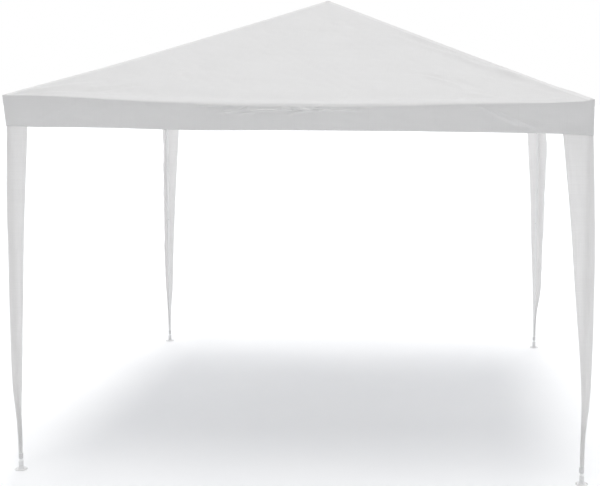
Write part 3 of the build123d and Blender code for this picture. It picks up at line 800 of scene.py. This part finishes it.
# ------------------------------------------------------------------ straps round the rails
strap_parts = []
for k in range(4):
    for at in STRAP_AT:
        fz = float(roof_height(k, np.array([at]), np.array([HALF]))[0])
        r = RAIL_R + 0.0005
        sx_, sz_ = HALF - 0.0042 - LEG, fz - 0.010 - RAIL_Z     # where it is sewn in, from the rail's axis
        dist = math.hypot(sx_, sz_)
        base = math.atan2(sz_, sx_)
        half = math.acos(min(1, (r + 0.0006) / dist))
        arc = np.linspace(base + half, base - half + math.tau, 40)
        ring_pts = np.stack([(r) * np.cos(arc), (r) * np.sin(arc)], -1)
        tail = np.array([sx_, sz_])
        s = np.linspace(0, 1, 8)[:-1, None]
        path = np.vstack([tail * (1 - s) + ring_pts[0] * s, ring_pts, (ring_pts[-1] * (1 - s[::-1]) + (tail + [0, -0.0016]) * s[::-1])[::1]])
        # outside is away from the rail
        t = np.gradient(path, axis=0)
        t /= np.maximum(np.linalg.norm(t, axis=1), 1e-9)[:, None]
        n = np.stack([t[:, 1], -t[:, 0]], -1)
        thick_s = 0.0011
        cols = []
        for w, h in ((-0.0125, 0.0), (-0.0125, thick_s), (0.0125, thick_s), (0.0125, 0.0)):
            p = path + n * h
            x, y = turn(k, -(at + w) + 0 * p[:, 0], LEG + p[:, 0])
            cols.append(np.stack([x, y, RAIL_Z + p[:, 1]], -1))
        v = np.stack(cols, 1).reshape(-1, 3)
        f = [[i * 4 + j, i * 4 + (j + 1) % 4, (i + 1) * 4 + (j + 1) % 4, (i + 1) * 4 + j] for i in range(len(path) - 1) for j in range(4)]
        f += [[3, 2, 1, 0], [(len(path) - 1) * 4 + j for j in range(4)]]
        strap_parts.append((v, f))
        # the hook side, lapped over the loop side low on the inside
        arc2 = np.linspace(math.radians(150), math.radians(285), 24)
        cols = []
        for w, h in ((-0.0115, 0.0010), (-0.0115, 0.0024), (0.0115, 0.0024), (0.0115, 0.0010)):
            p = np.stack([(r + h) * np.cos(arc2), (r + h) * np.sin(arc2)], -1)
            x, y = turn(k, -(at + w) + 0 * p[:, 0], LEG + p[:, 0])
            cols.append(np.stack([x, y, RAIL_Z + p[:, 1]], -1))
        v = np.stack(cols, 1).reshape(-1, 3)
        f = [[i * 4 + j, i * 4 + (j + 1) % 4, (i + 1) * 4 + (j + 1) % 4, (i + 1) * 4 + j] for i in range(len(arc2) - 1) for j in range(4)]
        f += [[3, 2, 1, 0], [(len(arc2) - 1) * 4 + j for j in range(4)]]
        strap_parts.append((v, f))
straps = joined("rail_strap_loops", strap_parts, smooth=False)

# ------------------------------------------------------------------ materials
class Nodes:
    """Short hand for a material's node tree."""

    def __init__(self, name):
        self.material = bpy.data.materials.new(name)
        self.material.use_nodes = True
        self.tree = self.material.node_tree
        self.tree.nodes.clear()
        self.out = self.tree.nodes.new("ShaderNodeOutputMaterial")

    def add(self, kind, **values):
        n = self.tree.nodes.new("ShaderNode" + kind)
        for key, value in values.items():
            if hasattr(n, key) and key not in n.inputs:
                setattr(n, key, value)
            else:
                self.put(n.inputs[key.replace("_", " ")], value)
        return n

    def put(self, socket, value):
        if isinstance(value, bpy.types.NodeSocket):
            self.tree.links.new(value, socket)
        elif isinstance(value, bpy.types.Node):
            self.tree.links.new(value.outputs[0], socket)
        else:
            socket.default_value = value

    def math(self, operation, a, b=None, c=None, clamp=False):
        n = self.tree.nodes.new("ShaderNodeMath")
        n.operation, n.use_clamp = operation, clamp
        for socket, value in zip(n.inputs, (a, b, c)):
            if value is not None:
                self.put(socket, value)
        return n.outputs[0]

    def noise(self, vector, scale, detail=3.0, rough=0.5, dimensions="3D"):
        n = self.tree.nodes.new("ShaderNodeTexNoise")
        n.noise_dimensions = dimensions
        self.put(n.inputs["Vector"], vector)
        n.inputs["Scale"].default_value, n.inputs["Detail"].default_value, n.inputs["Roughness"].default_value = scale, detail, rough
        return n.outputs["Fac"]

    def mix(self, factor, a, b):
        n = self.tree.nodes.new("ShaderNodeMix")
        n.data_type = "RGBA"
        for key, value in ((0, factor), (6, a), (7, b)):
            self.put(n.inputs[key], value)
        return n.outputs[2]

    def bump(self, height, strength, distance, normal=None):
        n = self.tree.nodes.new("ShaderNodeBump")
        n.inputs["Strength"].default_value, n.inputs["Distance"].default_value = strength, distance
        self.put(n.inputs["Height"], height)
        if normal is not None:
            self.put(n.inputs["Normal"], normal)
        return n.outputs[0]

    def spread(self, value, low, high, to_low=0.0, to_high=1.0):
        n = self.tree.nodes.new("ShaderNodeMapRange")
        n.clamp = True
        for socket, v in zip(n.inputs, (value, low, high, to_low, to_high)):
            self.put(socket, v)
        return n.outputs[0]


def grey(v, tint=(1.0, 1.0, 1.0)):
    return (v * tint[0], v * tint[1], v * tint[2], 1.0)


def fabric(name, shade, through, tint=(1.0, 0.997, 0.992)):
    """Coated woven sheet: flat tapes crossing under a thin film, satin, letting some light through."""
    m = Nodes(name)
    uv = m.add("UVMap").outputs[0]
    place = m.add("TexCoord").outputs["Object"]
    parts = m.add("SeparateXYZ", Vector=uv)
    u, v = parts.outputs[0], parts.outputs[1]
    tape = 1 / 0.0021
    over_u = m.math("SINE", m.math("MULTIPLY", u, tape * math.pi))
    over_v = m.math("SINE", m.math("MULTIPLY", v, tape * math.pi))
    weave = m.math("MULTIPLY", over_u, over_v)
    ribs = m.math("ADD", m.math("MULTIPLY", m.math("ABSOLUTE", over_u), 0.35), m.math("MULTIPLY", m.math("ABSOLUTE", over_v), 0.35))
    weave = m.math("ADD", weave, ribs)
    slubs = m.noise(m.add("Mapping", Vector=uv, Scale=(6.0, 420.0, 1.0)), 1.0, 2.0)
    slubs2 = m.noise(m.add("Mapping", Vector=uv, Scale=(420.0, 6.0, 1.0)), 1.0, 2.0)
    threads = m.math("ADD", slubs, slubs2)
    crumple = m.noise(place, 26.0, 4.0, 0.55)
    soft = m.noise(place, 3.2, 3.0, 0.5)
    film = m.noise(place, 900.0, 2.0)
    # fold lines left from packing: real folds in the bump and roughness, and painted shade in the colour below
    def line(c):
        w = m.math("PINGPONG", m.math("ADD", c, 100.0), 0.1875)
        return m.spread(w, 0.0, 0.0035, 1.0, 0.0)
    creases = m.math("MAXIMUM", line(u), line(v))
    creases = m.math("MULTIPLY", creases, m.spread(m.noise(place, 5.0, 2.0), 0.42, 0.62))
    normal = m.bump(weave, 0.16, 0.00012)
    normal = m.bump(threads, 0.10, 0.00012, normal)
    normal = m.bump(crumple, 0.30, 0.0026, normal)
    normal = m.bump(creases, 0.25, 0.0007, normal)
    normal = m.bump(film, 0.05, 0.00010, normal)
    light, dark = grey(shade * 1.012, tint), grey(shade * 0.985, tint)
    colour = m.mix(m.spread(soft, 0.3, 0.7), dark, light)
    colour = m.mix(m.math("MULTIPLY", m.spread(threads, 0.8, 1.2), 0.14), colour, grey(shade * 1.05, tint))
    # painted shade: the colour is darkened along the fold lines, as if shade lay in the creases
    colour = m.mix(m.math("MULTIPLY", creases, 0.30), colour, grey(shade * 0.93, tint))
    rough = m.math("ADD", m.spread(m.noise(place, 14.0, 3.0), 0.3, 0.7, 0.36, 0.50), m.math("MULTIPLY", creases, 0.12))
    face = m.add("BsdfPrincipled", Base_Color=colour, Roughness=rough, IOR=1.46, Normal=normal)
    face.inputs["Specular IOR Level"].default_value = 0.42
    face.inputs["Sheen Weight"].default_value = 0.06
    face.inputs["Sheen Roughness"].default_value = 0.6
    lit = m.add("BsdfTranslucent", Color=m.mix(m.spread(threads, 0.8, 1.2), grey(0.90, (1.0, 0.995, 0.99)), grey(0.96, (1.0, 0.995, 0.99))), Normal=normal)
    both = m.add("MixShader", Fac=through)
    m.put(both.inputs[1], face)
    m.put(both.inputs[2], lit)
    m.put(m.out.inputs[0], both)
    return m.material


def webbing(name, shade, tint, rib=0.0016, rough=0.85):
    """Woven tape: close ribs across it and a soft nap."""
    m = Nodes(name)
    place = m.add("TexCoord").outputs["Object"]
    xyz = m.add("SeparateXYZ", Vector=place)
    a = m.math("SINE", m.math("MULTIPLY", m.math("ADD", xyz.outputs[0], xyz.outputs[1]), math.tau / rib))
    b = m.math("SINE", m.math("MULTIPLY", xyz.outputs[2], math.tau / rib))
    weave = m.math("MULTIPLY", a, b)
    nap = m.noise(place, 700.0, 3.0, 0.6)
    patch = m.noise(place, 40.0, 3.0)
    normal = m.bump(nap, 0.5, 0.0004, m.bump(weave, 0.5, 0.0004))
    colour = m.mix(m.spread(nap, 0.3, 0.7), grey(shade * 0.72, tint), grey(shade * 1.2, tint))
    colour = m.mix(m.math("MULTIPLY", m.spread(patch, 0.4, 0.7), 0.3), colour, grey(shade * 0.8, tint))
    face = m.add("BsdfPrincipled", Base_Color=colour, Roughness=rough, Normal=normal)
    face.inputs["Sheen Weight"].default_value = 0.25
    m.put(m.out.inputs[0], face)
    return m.material


def coated_steel(name):
    """White powder coat over steel tube, with a fine orange peel, and rubbed a little where pieces slide and stand."""
    m = Nodes(name)
    place = m.add("TexCoord").outputs["Object"]
    peel = m.noise(place, 520.0, 2.0, 0.5)
    speck = m.noise(place, 130.0, 4.0, 0.6)
    rub = m.noise(m.add("Mapping", Vector=place, Scale=(1.0, 1.0, 0.06)), 900.0, 3.0, 0.7)
    height = m.add("SeparateXYZ", Vector=place).outputs[2]
    foot = m.spread(height, 0.05, 0.18, 1.0, 0.0)
    worn = m.math("MULTIPLY", m.spread(rub, 0.60, 0.74), m.math("MAXIMUM", m.math("MULTIPLY", foot, 0.7), 0.10))
    normal = m.bump(peel, 0.16, 0.0003)
    normal = m.bump(worn, 0.3, 0.0001, normal)
    white = m.mix(m.spread(speck, 0.35, 0.7), grey(0.90, (0.995, 1.0, 1.0)), grey(0.94, (1.0, 1.0, 0.995)))
    colour = m.mix(worn, white, grey(0.36, (1.0, 0.99, 0.97)))
    face = m.add("BsdfPrincipled", Base_Color=colour, Roughness=m.spread(peel, 0.3, 0.7, 0.27, 0.36), Metallic=m.math("MULTIPLY", worn, 0.6), Normal=normal)
    face.inputs["Coat Weight"].default_value = 0.25
    face.inputs["Coat Roughness"].default_value = 0.2
    m.put(m.out.inputs[0], face)
    return m.material


def moulded(name, shade, tint, rough, dirt=False):
    """Moulded plastic with a spark-eroded grain and faint flow marks."""
    m = Nodes(name)
    place = m.add("TexCoord").outputs["Object"]
    grain = m.noise(place, 1300.0, 2.0, 0.6)
    flow = m.noise(m.add("Mapping", Vector=place, Scale=(1.0, 1.0, 5.0)), 35.0, 3.0, 0.5)
    height = m.add("SeparateXYZ", Vector=place).outputs[2]
    normal = m.bump(grain, 0.25, 0.00018)
    colour = m.mix(m.spread(flow, 0.3, 0.7), grey(shade * 0.94, tint), grey(shade * 1.04, tint))
    if dirt:
        low = m.math("MULTIPLY", m.spread(height, 0.0005, 0.012, 1.0, 0.0), m.spread(m.noise(place, 160.0, 4.0, 0.65), 0.42, 0.68))
        colour = m.mix(m.math("MULTIPLY", low, 0.3), colour, (0.42, 0.405, 0.38, 1.0))
    face = m.add("BsdfPrincipled", Base_Color=colour, Roughness=m.spread(grain, 0.3, 0.7, rough - 0.05, rough + 0.07), Normal=normal)
    m.put(m.out.inputs[0], face)
    return m.material


def zinc(name):
    """Zinc-plated spring steel, drawn along its length."""
    m = Nodes(name)
    place = m.add("TexCoord").outputs["Object"]
    drawn = m.noise(m.add("Mapping", Vector=place, Scale=(1.0, 1.0, 0.04)), 2600.0, 3.0, 0.6)
    cloud = m.noise(place, 380.0, 3.0)
    normal = m.bump(drawn, 0.2, 0.00008)
    colour = m.mix(m.spread(cloud, 0.3, 0.7), (0.58, 0.60, 0.63, 1.0), (0.74, 0.75, 0.76, 1.0))
    face = m.add("BsdfPrincipled", Base_Color=colour, Metallic=1.0, Roughness=m.spread(drawn, 0.3, 0.7, 0.24, 0.40), Normal=normal)
    m.put(m.out.inputs[0], face)
    return m.material


def thread(name):
    """Twisted polyester sewing thread."""
    m = Nodes(name)
    place = m.add("TexCoord").outputs["Object"]
    twist = m.noise(place, 2400.0, 2.0, 0.5)
    normal = m.bump(twist, 0.4, 0.0001)
    colour = m.mix(m.spread(twist, 0.3, 0.7), grey(0.70, (0.98, 0.99, 1.0)), grey(0.84))
    face = m.add("BsdfPrincipled", Base_Color=colour, Roughness=0.6, Normal=normal)
    m.put(m.out.inputs[0], face)
    return m.material


CLOTH = fabric("cover_fabric", 0.720, 0.20)
# painted light: the leg covers are the cover's fabric with a lighter base colour, so that they show brighter than the
# valance
LEG_CLOTH_PAINTED_LIGHTER = fabric("leg_cover_fabric_painted_lighter", 0.875, 0.56)
# the hip seams' doubled cloth lets less light through, and its lighter base colour is also a painted highlight along
# the hips
DOUBLE_PAINTED_HIGHLIGHT = fabric("cover_fabric_doubled_painted_highlight", 0.80, 0.12)
STRAP = webbing("strap_webbing", 0.62, (0.99, 1.0, 1.0))
CUFF = webbing("cuff_webbing", 0.76, (1.0, 1.0, 1.0), 0.0014)
STEEL = coated_steel("tube_steel")
JOINT = moulded("connector_plastic", 0.60, (0.99, 1.0, 1.0), 0.46)
FOOT = moulded("foot_plastic", 0.80, (1.0, 1.0, 1.0), 0.50, dirt=True)
ZINC = zinc("button_steel")
THREAD = thread("sewing_thread")

BY_SLOT = {"tube_steel": STEEL, "connector_plastic": JOINT, "foot_plastic": FOOT, "button_steel": ZINC, "cover_fabric": CLOTH, "strap_webbing": STRAP, "cuff_webbing": CUFF}
for sub in frame["record"]["subparts"]:
    o = frame["nodes"][sub["node"]]
    if not o.material_slots:
        o.data.materials.append(None)
    for s in o.material_slots:
        s.material = BY_SLOT[sub["material_slot"]]


def finish_piece(o, material):
    o.data.materials.append(material)


finish_piece(canopy, CLOTH)
finish_piece(hip_seams, DOUBLE_PAINTED_HIGHLIGHT)
finish_piece(cover_stitches, THREAD)
finish_piece(straps, STRAP)
for corner in CORNERS:
    finish_piece(cover_cloths[corner][0], LEG_CLOTH_PAINTED_LIGHTER)
    finish_piece(leg_stitches[corner], THREAD)
    finish_piece(cuffs[corner], CUFF)

# ------------------------------------------------------------------ what rides on what
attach(canopy, "frame")
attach(hip_seams, "frame")
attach(cover_stitches, "frame")
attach(straps, "frame")
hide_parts(*[f"roof_panel_{s}" for s in SIDES], *[f"valance_{s}" for s in SIDES])
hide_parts("cover_straps")
for corner in CORNERS:
    o = cover_cloths[corner][0]
    st = leg_stitches[corner]
    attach(o, "frame")
    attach(st, "frame")
    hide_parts(f"leg_cover_{corner}")
    for p in (o, st):
        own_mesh(p)
    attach(cuffs[corner], f"lower_leg_{corner}")
    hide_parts(f"leg_cuff_{corner}")

# ------------------------------------------------------------------ floor, light, camera
AMBIENT, OVERHEAD, FROM_BACK = 0.86, 0.42, 0.47
floor = add_mesh("floor", [(-400, -400, -0.0003), (400, -400, -0.0003), (400, 400, -0.0003), (-400, 400, -0.0003)], [(0, 1, 2, 3)], smooth=False)
fm = Nodes("floor_paint")
place = fm.add("TexCoord").outputs["Object"]
tone = fm.mix(fm.spread(fm.noise(place, 1.4, 3.0), 0.3, 0.7), grey(0.955, (0.985, 0.992, 1.0)), grey(0.97, (0.99, 0.995, 1.0)))
ff = fm.add("BsdfPrincipled", Base_Color=tone, Roughness=0.9)
ff.inputs["Specular IOR Level"].default_value = 0.1
fm.put(fm.out.inputs[0], ff)
floor.data.materials.append(fm.material)

world = bpy.data.worlds.new("studio")
bpy.context.scene.world = world
world.use_nodes = True
wt = world.node_tree
wt.nodes.clear()
w_out, w_mix, w_path = (wt.nodes.new(n) for n in ("ShaderNodeOutputWorld", "ShaderNodeMixShader", "ShaderNodeLightPath"))
w_dir, w_xyz, w_ramp = (wt.nodes.new(n) for n in ("ShaderNodeTexCoord", "ShaderNodeSeparateXYZ", "ShaderNodeMapRange"))
w_fill, w_white = wt.nodes.new("ShaderNodeBackground"), wt.nodes.new("ShaderNodeBackground")
w_fill.inputs["Color"].default_value, w_fill.inputs["Strength"].default_value = (0.968, 0.976, 1.0, 1.0), AMBIENT
# the studio's back wall is brighter than its front
wt.links.new(w_dir.outputs["Generated"], w_xyz.inputs[0])
wt.links.new(w_xyz.outputs[1], w_ramp.inputs[0])
for socket, value in zip(w_ramp.inputs[1:5], (-1.0, 1.0, AMBIENT * (1 - FROM_BACK), AMBIENT * (1 + FROM_BACK))):
    socket.default_value = value
wt.links.new(w_ramp.outputs[0], w_fill.inputs["Strength"])
w_white.inputs["Color"].default_value, w_white.inputs["Strength"].default_value = (1.0, 1.0, 1.0, 1.0), 1.0
wt.links.new(w_path.outputs["Is Camera Ray"], w_mix.inputs[0])
wt.links.new(w_fill.outputs[0], w_mix.inputs[1])
wt.links.new(w_white.outputs[0], w_mix.inputs[2])
wt.links.new(w_mix.outputs[0], w_out.inputs[0])

# a long soft box far overhead, as three soft suns in a row
for i, tilt in enumerate((-18.0, -2.0, 14.5)):
    lamp = bpy.data.lights.new(f"overhead_softbox_{i + 1}", "SUN")
    lamp.energy = OVERHEAD * math.pi / 3
    lamp.angle = math.radians(23)
    lamp.color = (1.0, 0.985, 0.958)
    lamp_o = bpy.data.objects.new(lamp.name, lamp)
    bpy.context.scene.collection.objects.link(lamp_o)
    lamp_o.rotation_euler = (math.radians(tilt), math.radians(0.5), 0)

scene = bpy.context.scene
scene.view_settings.view_transform = "Standard"
scene.view_settings.look = "None"
scene.view_settings.exposure = 0.0
scene.view_settings.gamma = 1.0

F_PX, PP = 1028.4, (380.0, 200.0)
cam = bpy.data.cameras.new("camera")
cam_o = bpy.data.objects.new("camera", cam)
scene.collection.objects.link(cam_o)
cam.sensor_fit = "HORIZONTAL"
cam.sensor_width = 36.0
cam.lens = F_PX * 36.0 / 600.0
cam.shift_x = (300.0 - PP[0]) / 600.0
cam.shift_y = (PP[1] - 243.0) / 600.0
cam.clip_start, cam.clip_end = 0.1, 2000.0
yaw, pitch, roll = (math.radians(v) for v in (3.75, -5.52, 0.18))
fwd = Vector((-math.sin(yaw) * math.cos(pitch), math.cos(yaw) * math.cos(pitch), math.sin(pitch)))
right = Vector((math.cos(yaw), math.sin(yaw), 0.0))
up = right.cross(fwd)
r2 = right * math.cos(roll) + up * math.sin(roll)
u2 = -right * math.sin(roll) + up * math.cos(roll)
cam_o.matrix_world = Matrix((
    (r2.x, u2.x, -fwd.x, 0.775),
    (r2.y, u2.y, -fwd.y, -6.670),
    (r2.z, u2.z, -fwd.z, 1.963),
    (0, 0, 0, 1)))
scene.camera = cam_o

bpy.context.view_layer.update()
